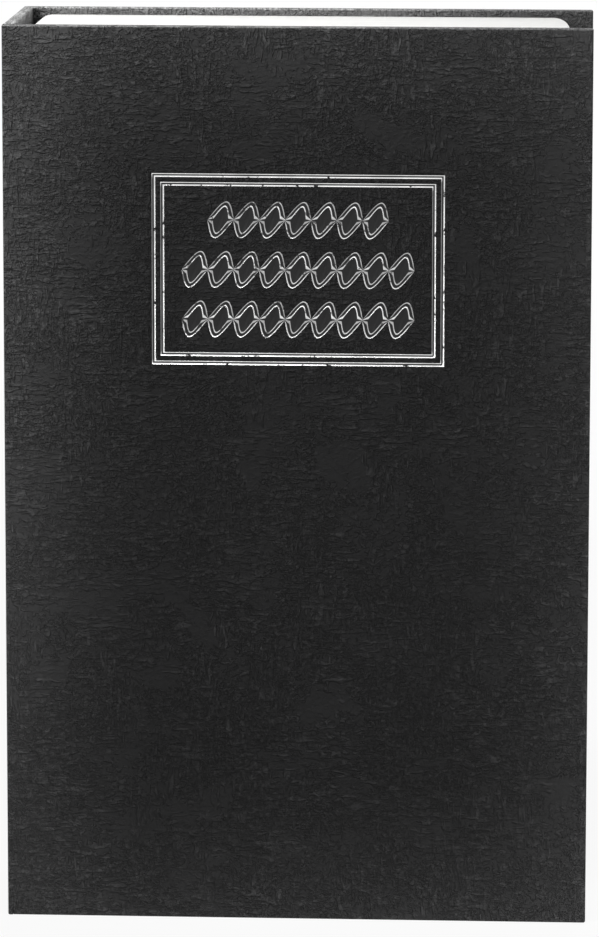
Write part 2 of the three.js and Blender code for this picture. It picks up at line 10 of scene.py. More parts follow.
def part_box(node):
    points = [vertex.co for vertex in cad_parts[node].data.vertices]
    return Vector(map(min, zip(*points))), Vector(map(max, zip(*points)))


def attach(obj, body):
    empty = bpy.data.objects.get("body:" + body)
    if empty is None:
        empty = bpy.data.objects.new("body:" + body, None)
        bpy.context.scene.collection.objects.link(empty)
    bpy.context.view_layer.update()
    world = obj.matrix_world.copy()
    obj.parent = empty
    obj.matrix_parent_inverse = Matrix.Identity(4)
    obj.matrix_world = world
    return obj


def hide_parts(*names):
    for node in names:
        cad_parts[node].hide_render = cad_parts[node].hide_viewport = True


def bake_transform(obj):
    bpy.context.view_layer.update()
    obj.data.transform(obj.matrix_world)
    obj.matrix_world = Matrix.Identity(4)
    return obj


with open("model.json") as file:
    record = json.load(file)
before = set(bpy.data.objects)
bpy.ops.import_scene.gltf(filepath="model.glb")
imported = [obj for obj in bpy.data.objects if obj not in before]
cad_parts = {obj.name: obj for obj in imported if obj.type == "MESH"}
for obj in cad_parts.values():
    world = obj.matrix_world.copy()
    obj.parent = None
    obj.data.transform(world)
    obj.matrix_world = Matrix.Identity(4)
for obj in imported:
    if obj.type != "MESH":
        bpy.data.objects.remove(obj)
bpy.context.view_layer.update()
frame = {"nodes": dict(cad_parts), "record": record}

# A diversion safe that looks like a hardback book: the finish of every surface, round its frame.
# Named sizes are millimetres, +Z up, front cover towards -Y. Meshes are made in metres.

MM = 0.001

# Camera
CAMERA_AT = (72.8, -1327.2, 363.9)
CAMERA_YAW = 2.608  # degrees, towards the spine
CAMERA_PITCH = 8.471  # degrees, downwards
CAMERA_ROLL = 0.143
CAMERA_LENS = 192.1
CAMERA_SHIFT = (-0.0518, -0.1884)
SENSOR = 36.0

# Leatherette over board
SHEET = 0.35
EDGE_ROUND = 0.65  # of the vertical edges
RIM_ROUND = 0.5  # of the head and tail edges
TURN_IN = 15.0
STRIP_REACH = 1.35  # how far the joint strip runs onto the front cover
COVER_STEP = 1.15  # between grid lines on the front cover
TITLE_STEP = 0.45  # across the leaf bands
PLAIN_STEP = 1.5  # on the back and the spine
INNER_STEP = 4.0  # on the inner faces
WAVE_DEPTH = 0.05  # of the boards' slight unevenness
GROOVE_DEPTH = 0.13  # of what the foil die has pressed
GROOVE_MARGIN = 0.06  # from the foil to the groove's slope
GROOVE_SLOPE = 0.2  # the slope's width

LEATHERETTE_TONE = (0.017, 0.017, 0.0173)
PAINTED_EDGE_LIGHT_TONE = (0.0655, 0.0655, 0.066)  # painted light: lighter towards the edges, where the light falls
PAINTED_EDGE_LIGHT_REACH = 46.0  # from an edge to where the painted edge light ends
PAINTED_EDGE_LIGHT_LOW = (0.95, 0.5, 0.5)  # share at the spine, the front cover and the tail
PAINTED_EDGE_LIGHT_HIGH = (0.42, 0.5, 0.5)  # share at the fore-edge, the back cover and the head
# Painted light: the inner faces are painted lighter than the cover's face, for the light and sheen they
# catch.
TURN_IN_PAINTED_LIGHT_TONE = (0.036, 0.036, 0.036)
# Painted light: the head edges and the faces just below them are painted light grey for the light from
# above.
HEAD_PAINTED_LIGHT_TONE = (0.52, 0.52, 0.52)
FRONT_HEAD_PAINTED_LIGHT_SHARE = 0.6  # of the painted head light on the front cover's head edge
SPINE_HEAD_PAINTED_LIGHT_SHARE = 0.6  # of the painted head light on the spine's inner face
BACK_HEAD_PAINTED_LIGHT_SHARE = 0.28  # of the painted head light on the back cover's inner face
HEAD_PAINTED_LIGHT_FALL = 0.6  # how much of the painted head light is gone at the fore-edge
HEAD_PAINTED_LIGHT_FALL_REACH = (0.5, 1.0)  # where it fades, as shares of the width
PAINTED_CREASE_SHADE_REACH = 1.6  # how wide the painted shade is in the crease between the spine and the back cover
TURN_REACH = (0.9, 2.4)  # from the case's outer faces to where its inner faces start
HEAD_PAINTED_LIGHT_REACH = (6.0, 3.5)  # below the head edge, where the painted light starts and is full
WORN_TONE = (0.11, 0.11, 0.11)  # of scuffed places along the edges
EDGE_WEAR_REACH = (0.3, 1.6)  # from an edge, where the scuffs start to fade and are gone
LINT_TONE = (0.5, 0.5, 0.5)
LINT_PITCH = 47.0  # spacing of the points round which specks of lint show
LEATHERETTE_GLOSS = 0.09
LEATHERETTE_DEPTH = 1.0  # of the emboss
EMBOSS_STEP = (0.47, 0.64)  # the noise levels of the ground and of full relief
EMBOSS_PAINTED_SHADE_AND_HIGHLIGHT = (0.8, 1.6)  # painted shade and highlight: the tone's factor on the ground and on the highest relief
PATCH_WANDER = 15.0  # how far the patches' borders stray
PATTERN_RISE = 16.5  # how far up the book the grain's pattern is moved

# Foil
FOIL_LINE = 1.05
FOIL_FLAT_PAINTED_DARK_TONE = (0.019, 0.019, 0.0193)  # painted dark reflection on the flat between the rims
FOIL_RIM_LIT = 0.34  # width of the raised rim that the light catches
FOIL_RIM_SHADED = 0.22  # and of the other one
FOIL_RIM_SLOPE = 0.08
UPRIGHT_RIM_PAINTED_HIGHLIGHT = (0.2, 0.85)  # painted highlight: brightness of the shaded and the lit rim of the upright lines
LYING_RIM_PAINTED_HIGHLIGHT = (0.85, 1.0)  # and of the lying ones
FOIL_BED = 0.12  # from the cover's face to the foil's underside
FOIL_RIM_RISE = 0.08
FOIL_FLAT_RISE = 0.045
FOIL_STEP = 1.2
LEAF_NECK = 0.5
LEAF_SLANT = 0.32
LEAF_COUNTS = {
    "front_foil_leaves_top": 7,
    "front_foil_leaves_middle": 9,
    "front_foil_leaves_bottom": 9,
}
LEAF_SAMPLES = 28  # along one leaf
LEAF_RIM = 0.25
LEAF_AWAY_PAINTED_SHADE = 0.6  # painted shade: how bright the outlines are that face away from the light
LEAF_STEEP_PAINTED_SHADE = 0.3  # and their steep stretches, also painted shade
LEAF_RIBBON = 1.15  # from a leaf's outline to the bright line inside it

# Page block
PAGE_PITCH = 0.95
PAGE_GROOVE = 0.13
SIGNATURE_PAGES = 6
SIGNATURE_GROOVE = 0.3
PAGE_CORNER = 0.7
FORE_ROUND = 4.0
FORE_ROUND_DEPTH = 30.0
SPINE_ROUND = 1.2
SPINE_ROUND_DEPTH = 9.0
FRONT_ROUND = 1.5
POCKET_GAP = 0.4

# Steel and lock: the round of their sharp edges
STEEL_EDGE = 0.22
LOCK_EDGE = 0.12

# Stage and light, in metres
FLOOR_FADE = (0.25, 1.4)  # from the object, where the floor starts to turn white and is white
FLOOR_WHITE = (0.91, 1.0)  # share of plain white near the object and far from it
WORLD_TONE = (0.97, 0.98, 1.0, 1)
WORLD_LIGHT = 0.09
# Name: place, aim, size, power in watts
PANELS = {
    "above": ((-0.05, -0.22, 0.55), (-0.03, -0.03, 0.22), 0.25, 1.05),
    "near_left": ((-0.38, -0.25, 0.36), (-0.08, -0.03, 0.22), 0.16, 0.6),
    "low_right": ((0.34, -0.3, 0.12), (0.06, -0.03, 0.02), 0.16, 0.3),
    "rear": ((0.35, 0.85, 0.5), (0, 0, 0.12), 0.5, 2.6),
}
SPOT_SIZE = 0.06
# Name: place, aim, cone in degrees, power in watts
SPOTS = {
    "top_left": ((-0.55, -0.42, 0.62), (-0.095, -0.0275, 0.26), 22, 14.0),
    "bottom_right": ((0.5, -0.45, 0.2), (0.08, -0.0275, -0.01), 22, 5.0),
    "bottom_left": ((-0.08, -0.58, 0.08), (-0.01, -0.0275, 0.05), 24, 2.4),
    "top_right": ((0.35, -0.5, 0.45), (0.06, -0.0275, 0.21), 20, 2.4),
}


def box_of(node):
    """A CAD node's lowest and highest corners in millimetres."""
    low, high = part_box(node)
    return np.array(low) / MM, np.array(high) / MM


COVER_LOW, COVER_HIGH = box_of("front_cover_leatherette")
BACK_LOW, BACK_HIGH = box_of("back_cover_leatherette")
BLOCK_LOW, BLOCK_HIGH = box_of("page_block_frame")
STEEL_LOW, STEEL_HIGH = box_of("safe_box")
FRAME_LOW, FRAME_HIGH = box_of("front_foil_outer_frame")
INNER_FRAME_LOW, INNER_FRAME_HIGH = box_of("front_foil_inner_frame")
HINGE_SIDE = box_of("front_cover_board")[0][0] - SHEET
SPINE_INNER = box_of("spine_board")[1][0] + SHEET
TAIL, HEAD = COVER_LOW[2], COVER_HIGH[2]
FACE = COVER_LOW[1]


# Mesh making


class Shape:
    """Points and faces gathered piece by piece, in millimetres."""

    def __init__(self):
        self.points = []
        self.faces = []
        self.count = 0

    def add(self, points, faces):
        points = np.asarray(points, float).reshape(-1, 3)
        self.points.append(points)
        self.faces += [[self.count + i for i in face] for face in faces]
        self.count += len(points)

    def grid(self, points, closed=False, skip=None):
        """points has shape (rows, columns, 3). skip(middle) tells which quads are left out."""
        rows, columns = points.shape[:2]
        width = columns if closed else columns - 1
        faces = []
        for i in range(rows - 1):
            for j in range(width):
                k = (j + 1) % columns
                corners = [(i, j), (i, k), (i + 1, k), (i + 1, j)]
                if skip is not None and skip(sum(points[c] for c in corners) / 4):
                    continue
                faces.append([a * columns + b for a, b in corners])
        self.add(points, faces)

    def welded(self):
        """Points and faces with coinciding points joined, and faces that lose their area dropped."""
        points = np.vstack(self.points)
        keys = np.round(points, 4)
        _, first, index = np.unique(keys, axis=0, return_index=True, return_inverse=True)
        index = index.ravel()
        faces = []
        for face in self.faces:
            corners = [int(index[i]) for i in face]
            corners = [c for i, c in enumerate(corners) if c != corners[i - 1]]
            if len(set(corners)) >= 3:
                faces.append(corners)
        return points[first], faces


def lines(low, high, step, extra=()):
    """Values from low to high, at most a step apart, with the extra ones among them."""
    stops = sorted({low, high, *(e for e in extra if low < e < high)})
    made = []
    for a, b in zip(stops, stops[1:]):
        count = max(1, math.ceil((b - a) / step - 1e-9))
        made += [a + (b - a) * i / count for i in range(count)]
    return np.array([*made, high])


def arc(x, y, radius, start, end, steps=4):
    """Points on a circle in plan, from one angle to another in degrees."""
    angles = np.radians(np.linspace(start, end, steps + 1))
    return [(x + radius * math.cos(a), y + radius * math.sin(a)) for a in angles]


def outward(outline):
    """Each point's outward direction on a closed outline that runs counterclockwise."""
    outline = np.asarray(outline)
    ahead = np.roll(outline, -1, axis=0) - outline
    ahead /= np.linalg.norm(ahead, axis=1)[:, None]
    normal = np.stack([ahead[:, 1], -ahead[:, 0]], axis=1)
    mean = normal + np.roll(normal, 1, axis=0)
    mean /= np.linalg.norm(mean, axis=1)[:, None]
    reach = np.maximum(np.sum(mean * normal, axis=1), 0.5)
    return mean / reach[:, None]


def make_object(name, points, faces, materials, sharp=35, marks=None):
    """A Blender object in metres with one or more materials and values stored on its points."""
    mesh = bpy.data.meshes.new(name)
    mesh.from_pydata((points * MM).tolist(), [], faces)
    for key, values in (marks or {}).items():
        mark = mesh.attributes.new(key, "FLOAT", "POINT")
        mark.data.foreach_set("value", np.asarray(values, np.float32))
    work = bmesh.new()
    work.from_mesh(mesh)
    bmesh.ops.recalc_face_normals(work, faces=work.faces)
    work.to_mesh(mesh)
    work.free()
    mesh.polygons.foreach_set("use_smooth", [True] * len(mesh.polygons))
    mesh.set_sharp_from_angle(angle=math.radians(sharp))
    for material in materials:
        mesh.materials.append(material)
    obj = bpy.data.objects.new(name, mesh)
    bpy.context.scene.collection.objects.link(obj)
    return obj


def settle(obj, body, slot, *nodes):
    """Puts a piece on its body and hides the CAD nodes that it stands for; its material slot is not
    used.
    """
    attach(obj, body)
    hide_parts(*nodes)


def smoothstep(low, high, value):
    t = np.clip((value - low) / (high - low), 0, 1)
    return t * t * (3 - 2 * t)


class Waves:
    """Smooth noise over a plane, from 0 to 1, the same on each run."""

    size = 64

    def __init__(self, seed):
        self.table = np.random.default_rng(seed).random((self.size, self.size))

    def at(self, u, v):
        iu, iv = np.floor(u).astype(int), np.floor(v).astype(int)
        fu, fv = u - iu, v - iv
        fu, fv = fu * fu * (3 - 2 * fu), fv * fv * (3 - 2 * fv)
        value = np.zeros_like(fu)
        for du in (0, 1):
            for dv in (0, 1):
                share = (fu if du else 1 - fu) * (fv if dv else 1 - fv)
                value += share * self.table[(iu + du) % self.size, (iv + dv) % self.size]
        return value


# Materials


class Tree:
    """A node tree and short ways to add nodes to it."""

    def __init__(self, tree):
        self.tree = tree

    def node(self, kind, **settings):
        made = self.tree.nodes.new(kind)
        for key, value in settings.items():
            setattr(made, key, value)
        return made

    def plug(self, socket, value):
        if isinstance(value, bpy.types.NodeSocket):
            self.tree.links.new(value, socket)
        else:
            socket.default_value = value

    def math(self, operation, a, b=0.0, c=0.0):
        made = self.node("ShaderNodeMath", operation=operation)
        for socket, value in zip(made.inputs, (a, b, c)):
            self.plug(socket, value)
        return made.outputs[0]


class Nodes(Tree):
    """A material's nodes, with patterns that are fixed to the object."""

    def __init__(self, name):
        self.material = bpy.data.materials.new(name)
        self.material.use_nodes = True
        super().__init__(self.material.node_tree)
        self.shader = self.tree.nodes["Principled BSDF"]
        self.seat = self.node("ShaderNodeTexCoord").outputs["Object"]

    def along(self, x, y, z):
        """The object's coordinates measured along a direction."""
        made = self.node("ShaderNodeVectorMath", operation="DOT_PRODUCT")
        self.plug(made.inputs[0], self.seat)
        made.inputs[1].default_value = (x, y, z)
        return made.outputs["Value"]

    def stretched(self, x, y, z):
        """The object's coordinates in units of these lengths, in millimetres."""
        made = self.node("ShaderNodeMapping")
        self.plug(made.inputs["Vector"], self.seat)
        made.inputs["Scale"].default_value = (1 / (x * MM), 1 / (y * MM), 1 / (z * MM))
        return made.outputs[0]

    def pair(self, u, v, seed):
        made = self.node("ShaderNodeCombineXYZ")
        self.plug(made.inputs[0], u)
        self.plug(made.inputs[1], v)
        made.inputs[2].default_value = seed
        return made.outputs[0]

    def noise(self, vector, detail=2.0, roughness=0.5, distortion=0.0):
        made = self.node("ShaderNodeTexNoise")
        self.plug(made.inputs["Vector"], vector)
        made.inputs["Scale"].default_value = 1.0
        made.inputs["Detail"].default_value = detail
        made.inputs["Roughness"].default_value = roughness
        made.inputs["Distortion"].default_value = distortion
        return made.outputs[0]

    def step(self, value, low, high, out_low=0.0, out_high=1.0):
        made = self.node("ShaderNodeMapRange", interpolation_type="SMOOTHSTEP")
        self.plug(made.inputs["Value"], value)
        for key, number in zip(
            ("From Min", "From Max", "To Min", "To Max"), (low, high, out_low, out_high)
        ):
            made.inputs[key].default_value = number
        return made.outputs[0]

    def mark(self, name):
        return self.node("ShaderNodeAttribute", attribute_name=name).outputs["Fac"]

    def mix(self, share, a, b):
        made = self.node("ShaderNodeMix", data_type="RGBA")
        self.plug(made.inputs["Factor"], share)
        for socket, colour in ((made.inputs[6], a), (made.inputs[7], b)):
            self.plug(socket, colour if isinstance(colour, bpy.types.NodeSocket) else (*colour, 1))
        return made.outputs[2]

    def bump(self, height, depth, strength=1.0):
        """depth is the height of a full step, in millimetres."""
        made = self.node("ShaderNodeBump")
        self.plug(made.inputs["Height"], height)
        made.inputs["Distance"].default_value = depth * MM
        made.inputs["Strength"].default_value = strength
        self.plug(self.shader.inputs["Normal"], made.outputs[0])

    def set(self, **values):
        for key, value in values.items():
            self.plug(self.shader.inputs[key.replace("_", " ")], value)
        return self.material


def leatherette():
    """Black embossed leatherette: patches of level and upright streaks, wrinkles and smooth ground."""
    n = Nodes("leatherette")
    # Millimetres along a face and up it. On the head and tail edges up is through the book.
    facing = n.node("ShaderNodeSeparateXYZ")
    n.plug(facing.inputs[0], n.node("ShaderNodeNewGeometry").outputs["True Normal"])
    lying = n.math("GREATER_THAN", n.math("ABSOLUTE", facing.outputs[2]), 0.7)
    through = n.along(0, 1000, 0)
    u = n.math("MULTIPLY_ADD", through, n.math("SUBTRACT", 1.0, lying), n.along(1000, 0, 0))
    v = n.math("MULTIPLY_ADD", through, lying, n.along(0, 0, 1000))
    v = n.math("SUBTRACT", v, PATTERN_RISE)

    def field(across, up, seed, **settings):
        """Noise whose features are this wide and this high."""
        place = n.pair(n.math("DIVIDE", u, across), n.math("DIVIDE", v, up), seed)
        return n.noise(place, **settings)

    def patches(across, up, seed, share):
        """1 over a share of a patchwork of upright and lying blocks with broken edges."""
        cells = n.node("ShaderNodeTexVoronoi", voronoi_dimensions="2D", distance="CHEBYCHEV")
        wander = n.math("MULTIPLY", field(4.5, 4.5, seed, detail=2), PATCH_WANDER)
        across_at = n.math("DIVIDE", n.math("ADD", u, wander), across)
        up_at = n.math("DIVIDE", n.math("SUBTRACT", v, wander), up)
        n.plug(cells.inputs["Vector"], n.pair(n.math("ADD", across_at, seed), up_at, 0.0))
        cells.inputs["Scale"].default_value = 1
        split = n.node("ShaderNodeSeparateColor")
        n.plug(split.inputs[0], cells.outputs["Color"])
        block = n.step(split.outputs[0], 0.9 - share, 1.1 - share)
        clump = n.step(field(4.0, 4.0, seed + 5, detail=1.5), 0.3, 0.5, 0.3, 1.0)
        return n.math("MULTIPLY", block, clump)

    level = n.step(field(4.6, 1.0, 1.3, roughness=0.45, distortion=0.5), *EMBOSS_STEP)
    upright = n.step(field(1.0, 4.6, 4.7, roughness=0.45, distortion=0.5), *EMBOSS_STEP)
    pebble = n.step(field(1.5, 1.2, 7.7, roughness=0.45, distortion=0.7), *EMBOSS_STEP)
    worm = field(2.1, 1.7, 9.1, detail=1.5, distortion=1.0)
    wrinkle = n.step(n.math("ABSOLUTE", n.math("SUBTRACT", worm, 0.5)), 0.0, 0.085, 1.0, 0.0)
    ground = field(2.6, 2.2, 12.6, detail=3, roughness=0.6)
    relief = n.math("MULTIPLY", level, patches(13, 8, 3.1, 0.6))
    relief = n.math("MULTIPLY_ADD", upright, patches(8, 13, 8.4, 0.42), relief)
    relief = n.math("MULTIPLY_ADD", wrinkle, patches(9, 8, 14.9, 0.5), relief)
    pebbled = n.math("MULTIPLY_ADD", patches(11, 10, 22.3, 0.6), 0.7, 0.15)
    relief = n.math("MULTIPLY_ADD", pebble, pebbled, relief)
    fade = n.step(field(45, 45, 51.5, detail=1), 0.38, 0.6, 0.65, 1.0)
    relief = n.math("MULTIPLY", relief, fade)
    height = n.math("MULTIPLY_ADD", ground, 0.5, relief)
    streaks = n.step(n.noise(n.stretched(0.7, 6, 6), detail=2), 0.36, 0.64, 0.7, 1.35)
    streaks = n.math("MULTIPLY_ADD", n.mark("head"), n.math("SUBTRACT", streaks, 1.0), 1.0)
    depth = n.step(n.mark("lightening"), 0.0, 1.5, 1.0, 0.5)
    depth = n.math("MULTIPLY", depth, n.step(n.mark("head"), 0.0, 1.0, 1.0, 0.35))
    # Painted shade in the emboss's hollows and painted highlight on its crests.
    shade = n.math("SUBTRACT", n.step(relief, 0.0, 1.2, *EMBOSS_PAINTED_SHADE_AND_HIGHLIGHT), 1.0)
    shade = n.math("MULTIPLY", n.math("MULTIPLY_ADD", shade, depth, 1.0), streaks)
    scuffs = n.step(n.noise(n.stretched(3, 3, 3), detail=3), 0.4, 0.65)
    worn = n.math("MULTIPLY", n.mark("edge"), scuffs)
    # Painted light: the tone is lighter towards the edges of each face.
    base = n.mix(n.mark("lightening"), LEATHERETTE_TONE, PAINTED_EDGE_LIGHT_TONE)
    # Painted light: lighter on the inner faces.
    base = n.mix(n.mark("turned_in"), base, TURN_IN_PAINTED_LIGHT_TONE)
    # Painted light on the head edges and just below them.
    base = n.mix(n.mark("head"), base, HEAD_PAINTED_LIGHT_TONE)
    worn_base = n.mix(n.math("MULTIPLY", worn, 0.4), base, WORN_TONE)
    scaled = n.node("ShaderNodeVectorMath", operation="SCALE")
    n.plug(scaled.inputs[0], worn_base)
    n.plug(scaled.inputs["Scale"], shade)
    fleck = n.node("ShaderNodeTexVoronoi", voronoi_dimensions="3D")
    n.plug(fleck.inputs["Vector"], n.stretched(LINT_PITCH, LINT_PITCH, LINT_PITCH))
    fleck.inputs["Scale"].default_value = 1
    lint = n.step(fleck.outputs["Distance"], 0.0075, 0.0105, 1.0, 0.0)
    colour = n.mix(lint, scaled.outputs[0], LINT_TONE)
    n.bump(height, LEATHERETTE_DEPTH)
    return n.set(
        Base_Color=colour,
        Roughness=n.step(relief, 0.0, 1.2, 0.62, 0.5),
        Specular_IOR_Level=LEATHERETTE_GLOSS,
    )


def silver_foil():
    """Hot-stamped foil: rims painted bright, a flat painted dark for the dark reflection it shows, and
    worn breaks.
    """
    n = Nodes("silver_foil")
    chips = n.noise(n.stretched(2.2, 2.2, 2.2), detail=3, roughness=0.65)
    unbroken = n.step(chips, 0.36, 0.42)
    hold = n.math("MAXIMUM", unbroken, n.math("SUBTRACT", 1.0, n.mark("worn")))
    # The rim mark holds each rim's painted highlight, bright on the side taken as lit and dim on the
    # other.
    shine = n.math("MULTIPLY", n.mark("rim"), hold)
    tone = n.step(n.noise(n.stretched(5, 5, 5), detail=2), 0.3, 0.6, 0.8, 1.0)
    silver = n.node("ShaderNodeCombineColor")
    for socket in silver.inputs[:3]:
        n.plug(socket, tone)
    # Painted light: the rims' painted highlights over a flat painted dark for its reflection.
    colour = n.mix(shine, FOIL_FLAT_PAINTED_DARK_TONE, silver.outputs[0])
    n.bump(n.noise(n.stretched(0.6, 0.6, 0.6), detail=2), 0.01, 0.5)
    return n.set(
        Base_Color=colour,
        Metallic=n.step(shine, 0.0, 0.4, 0.0, 1.0),
        Roughness=n.step(shine, 0.0, 1.0, 0.55, 0.2),
        Specular_IOR_Level=0.12,
    )


def page_plastic():
    """White moulded plastic, a little warmer and darker down in its page lines."""
    n = Nodes("page_plastic")
    line = n.mark("line")
    mottle = n.noise(n.stretched(30, 2.5, 30), detail=2)
    depth = n.math("MULTIPLY", line, n.step(mottle, 0.3, 0.7, 0.5, 1.0))
    colour = n.mix(depth, (0.93, 0.926, 0.91), (0.62, 0.605, 0.56))
    n.bump(n.noise(n.stretched(0.5, 0.5, 0.5), detail=2), 0.012, 0.6)
    return n.set(Base_Color=colour, Roughness=0.52, Specular_IOR_Level=0.35)


def black_paper():
    """Matt black lining paper with a faint laid grain and short fibres."""
    n = Nodes("black_paper")
    laid = n.noise(n.stretched(9, 9, 0.5), detail=2)
    fibre = n.noise(n.stretched(0.6, 0.6, 0.5), detail=3, roughness=0.7, distortion=0.8)
    height = n.math("MULTIPLY_ADD", fibre, 0.6, laid)
    colour = n.mix(n.step(fibre, 0.4, 0.75), (0.011, 0.011, 0.012), (0.021, 0.021, 0.022))
    n.bump(height, 0.03, 0.7)
    return n.set(Base_Color=colour, Roughness=0.85, Specular_IOR_Level=0.2)


def greyboard():
    """Pressed grey board with pale and dark flecks."""
    n = Nodes("greyboard")
    fleck = n.noise(n.stretched(1.1, 1.1, 1.1), detail=4, roughness=0.7)
    colour = n.mix(n.step(fleck, 0.3, 0.7), (0.19, 0.175, 0.14), (0.34, 0.315, 0.26))
    n.bump(fleck, 0.08, 0.8)
    return n.set(Base_Color=colour, Roughness=0.95)


def black_steel():
    """Black powder coat with orange peel and a fine sparkle."""
    n = Nodes("black_steel")
    peel = n.noise(n.stretched(1.4, 1.4, 1.4), detail=2, distortion=0.3)
    sparkle = n.noise(n.stretched(0.25, 0.25, 0.25), detail=1)
    lightening = n.noise(n.stretched(35, 35, 35), detail=4, roughness=0.6)
    colour = n.mix(n.step(lightening, 0.42, 0.72), (0.0125, 0.013, 0.0135), (0.021, 0.0215, 0.022))
    n.bump(n.math("MULTIPLY_ADD", sparkle, 0.25, peel), 0.05, 0.7)
    return n.set(
        Base_Color=colour,
        Roughness=n.step(lightening, 0.3, 0.75, 0.5, 0.4),
        Specular_IOR_Level=0.4,
    )


def zinc_steel():
    """Zinc-plated steel with a cloudy tone and fine drawing marks."""
    n = Nodes("zinc_steel")
    cloud = n.noise(n.stretched(2.5, 2.5, 2.5), detail=3)
    marks = n.noise(n.stretched(0.2, 0.2, 3.0), detail=2)
    colour = n.mix(cloud, (0.46, 0.47, 0.49), (0.66, 0.665, 0.67))
    n.bump(marks, 0.008, 0.6)
    return n.set(Base_Color=colour, Metallic=1.0, Roughness=n.step(cloud, 0.3, 0.7, 0.42, 0.3))


def lock_chrome():
    """Polished chrome with handling marks."""
    n = Nodes("lock_chrome")
    film = n.noise(n.stretched(3.0, 3.0, 3.0), detail=3)
    hair = n.noise(n.stretched(0.15, 4.0, 2.0), detail=2)
    colour = n.mix(film, (0.6, 0.605, 0.615), (0.7, 0.705, 0.71))
    n.bump(hair, 0.004, 0.4)
    return n.set(Base_Color=colour, Metallic=1.0, Roughness=n.step(film, 0.3, 0.75, 0.12, 0.24))


LEATHERETTE = leatherette()
FOIL = silver_foil()
PAGES = page_plastic()
PAPER = black_paper()
BOARD = greyboard()
STEEL = black_steel()
ZINC = zinc_steel()
CHROME = lock_chrome()


# Foil shapes, for which the cover's face is pressed in


class LeafBand:
    """A chain of slanted leaves joined at their tips, in its own place on the cover."""

    def __init__(self, node, count):
        low, high = box_of(node)
        self.node = node
        self.count = count
        self.middle_x, self.middle_z = (low[0] + high[0]) / 2, (low[2] + high[2]) / 2
        self.half_height = (high[2] - low[2]) / 2
        self.half = high[0] - self.middle_x - LEAF_SLANT * LEAF_NECK / 2

    def reach(self, along):
        """Half the chain's height at a place along it."""
        phase = math.pi * (along + self.half) / (2 * self.half) * self.count
        swell = self.half_height - LEAF_NECK / 2
        return LEAF_NECK / 2 + swell * np.abs(np.sin(phase))

    def steepness(self, along):
        phase = math.pi * (along + self.half) / (2 * self.half) * self.count
        swell = self.half_height - LEAF_NECK / 2
        slope = swell * np.abs(np.cos(phase)) * math.pi * self.count / (2 * self.half)
        return np.sqrt(1 + slope**2)

    def outside(self, x, z):
        """About how far a place on the cover is from the chain's outline, negative inside it."""
        rise = z - self.middle_z
        along = x - self.middle_x - LEAF_SLANT * rise
        over = (np.abs(rise) - self.reach(along)) / self.steepness(along)
        return np.maximum(over, np.abs(along) - self.half)


BANDS = [LeafBand(node, count) for node, count in LEAF_COUNTS.items()]


def from_frame_line(x, z, low, high):
    """How far a place is from the border of a frame's foil line, negative inside it."""
    middle_x, middle_z = (low[0] + high[0]) / 2, (low[2] + high[2]) / 2
    half_width = (high[0] - low[0] - FOIL_LINE) / 2
    half_height = (high[2] - low[2] - FOIL_LINE) / 2
    aside = np.maximum(np.abs(x - middle_x) - half_width, np.abs(z - middle_z) - half_height)
    return np.abs(aside) - FOIL_LINE / 2


def pressed(x, z):
    """How deep the foil die has pressed the cover's face."""
    away = np.minimum(
        from_frame_line(x, z, FRAME_LOW, FRAME_HIGH),
        from_frame_line(x, z, INNER_FRAME_LOW, INNER_FRAME_HIGH),
    )
    for band in BANDS:
        away = np.minimum(away, band.outside(x, z))
    return GROOVE_DEPTH * (1 - smoothstep(GROOVE_MARGIN, GROOVE_MARGIN + GROOVE_SLOPE, away))


def frame_edges(axis):
    """Grid lines at the shoulders of both frames' grooves."""
    made = []
    for low, high in ((FRAME_LOW, FRAME_HIGH), (INNER_FRAME_LOW, INNER_FRAME_HIGH)):
        for line in (low[axis], high[axis] - FOIL_LINE):
            for edge, side in ((line, -1), (line + FOIL_LINE, 1)):
                made += [edge + side * GROOVE_MARGIN, edge + side * (GROOVE_MARGIN + GROOVE_SLOPE)]
    return made


def title_lines(axis):
    """Close grid lines across the leaf bands."""
    low = min(box_of(b.node)[0][axis] for b in BANDS) - 0.6
    high = max(box_of(b.node)[1][axis] for b in BANDS) + 0.6
    return list(lines(low, high, TITLE_STEP))


# Leatherette case


def rim_rings(low, high):
    """(z, inset) of the rings that round the tail edge and the head edge."""
    turns = np.radians([90, 60, 30, 0])
    tail = [(low + RIM_ROUND * (1 - math.sin(a)), RIM_ROUND * (1 - math.cos(a))) for a in turns]
    head = [(low + high - z, inset) for z, inset in reversed(tail)]
    return tail, head


def run_up(shape, outline, heights, skip=None, share=None):
    """Runs a plan outline from tail to head with rounded rims, and closes both ends.

    share is how much of the rims' inset each point takes."""
    outline = np.asarray(outline, float)
    out = outward(outline)
    if share is not None:
        out *= np.asarray(share)[:, None]
    tail, head = rim_rings(heights[0], heights[-1])
    inner = heights[(heights > tail[-1][0] + 0.05) & (heights < head[0][0] - 0.05)]
    rings = [*tail, *((z, 0.0) for z in inner), *head]
    points = np.array([[(*p, z) for p in outline - inset * out] for z, inset in rings])
    shape.grid(points, closed=True, skip=skip)
    ring = range(len(outline))
    shape.add(points[0], [list(ring)[::-1]])
    shape.add(points[-1], [list(ring)])


